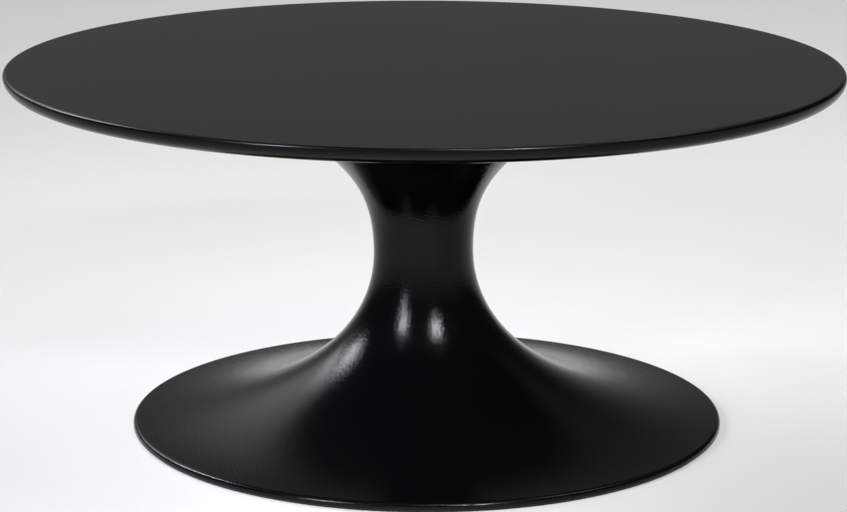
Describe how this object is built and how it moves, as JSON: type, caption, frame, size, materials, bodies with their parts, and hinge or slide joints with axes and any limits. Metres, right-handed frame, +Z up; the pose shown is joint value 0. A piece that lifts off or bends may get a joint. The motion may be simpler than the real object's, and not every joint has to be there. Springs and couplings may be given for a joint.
{
  "type": "pedestal coffee table",
  "caption": "Low oval coffee table: a black lacquered board top on a smooth trumpet-shaped cast pedestal with a wide shallow foot.",
  "frame": {"origin": "centre of the floor under the table, on the table's axis", "axes": "+Z up along the table's axis; +X along the top's width, to the right in the picture; -Y towards the front, about 9 degrees from the picture's line of sight"},
  "size_m": [0.902, 0.676, 0.4],
  "materials": {
    "top_lacquer": "black satin lacquer on fibreboard",
    "pedestal_coat": "black coat with fine orange peel on a casting",
    "glide_rubber": "matt black rubber",
    "black_steel": "black painted steel",
    "zinc_steel": "bright zinc plate",
    "insert_brass": "plain brass",
    "ballast_iron": "rough casting"
  },
  "bodies": {
    "root": {"tabletop": "top_lacquer", "pedestal": "pedestal_coat", "glide_ring": "glide_rubber", "mounting_plate": "black_steel", "coupling_nut": "black_steel", "base_cover": "black_steel", "tie_rod": "zinc_steel", "plain_washer": "zinc_steel", "spring_washer": "zinc_steel", "rod_nut": "zinc_steel", "ballast_ring": "ballast_iron", "threaded_insert_1": "insert_brass", "threaded_insert_2": "insert_brass", "threaded_insert_3": "insert_brass", "threaded_insert_4": "insert_brass", "threaded_insert_5": "insert_brass", "threaded_insert_6": "insert_brass", "threaded_insert_7": "insert_brass", "threaded_insert_8": "insert_brass", "plate_screw_1": "zinc_steel", "plate_screw_2": "zinc_steel", "plate_screw_3": "zinc_steel", "plate_screw_4": "zinc_steel", "plate_screw_5": "zinc_steel", "plate_screw_6": "zinc_steel", "plate_screw_7": "zinc_steel", "plate_screw_8": "zinc_steel", "cover_screw_1": "zinc_steel", "cover_screw_2": "zinc_steel", "cover_screw_3": "zinc_steel", "cover_screw_4": "zinc_steel", "cover_screw_5": "zinc_steel", "cover_screw_6": "zinc_steel", "ballast_bolt_1": "zinc_steel", "ballast_bolt_2": "zinc_steel", "ballast_bolt_3": "zinc_steel", "ballast_bolt_4": "zinc_steel"}
  },
  "joints": []
}
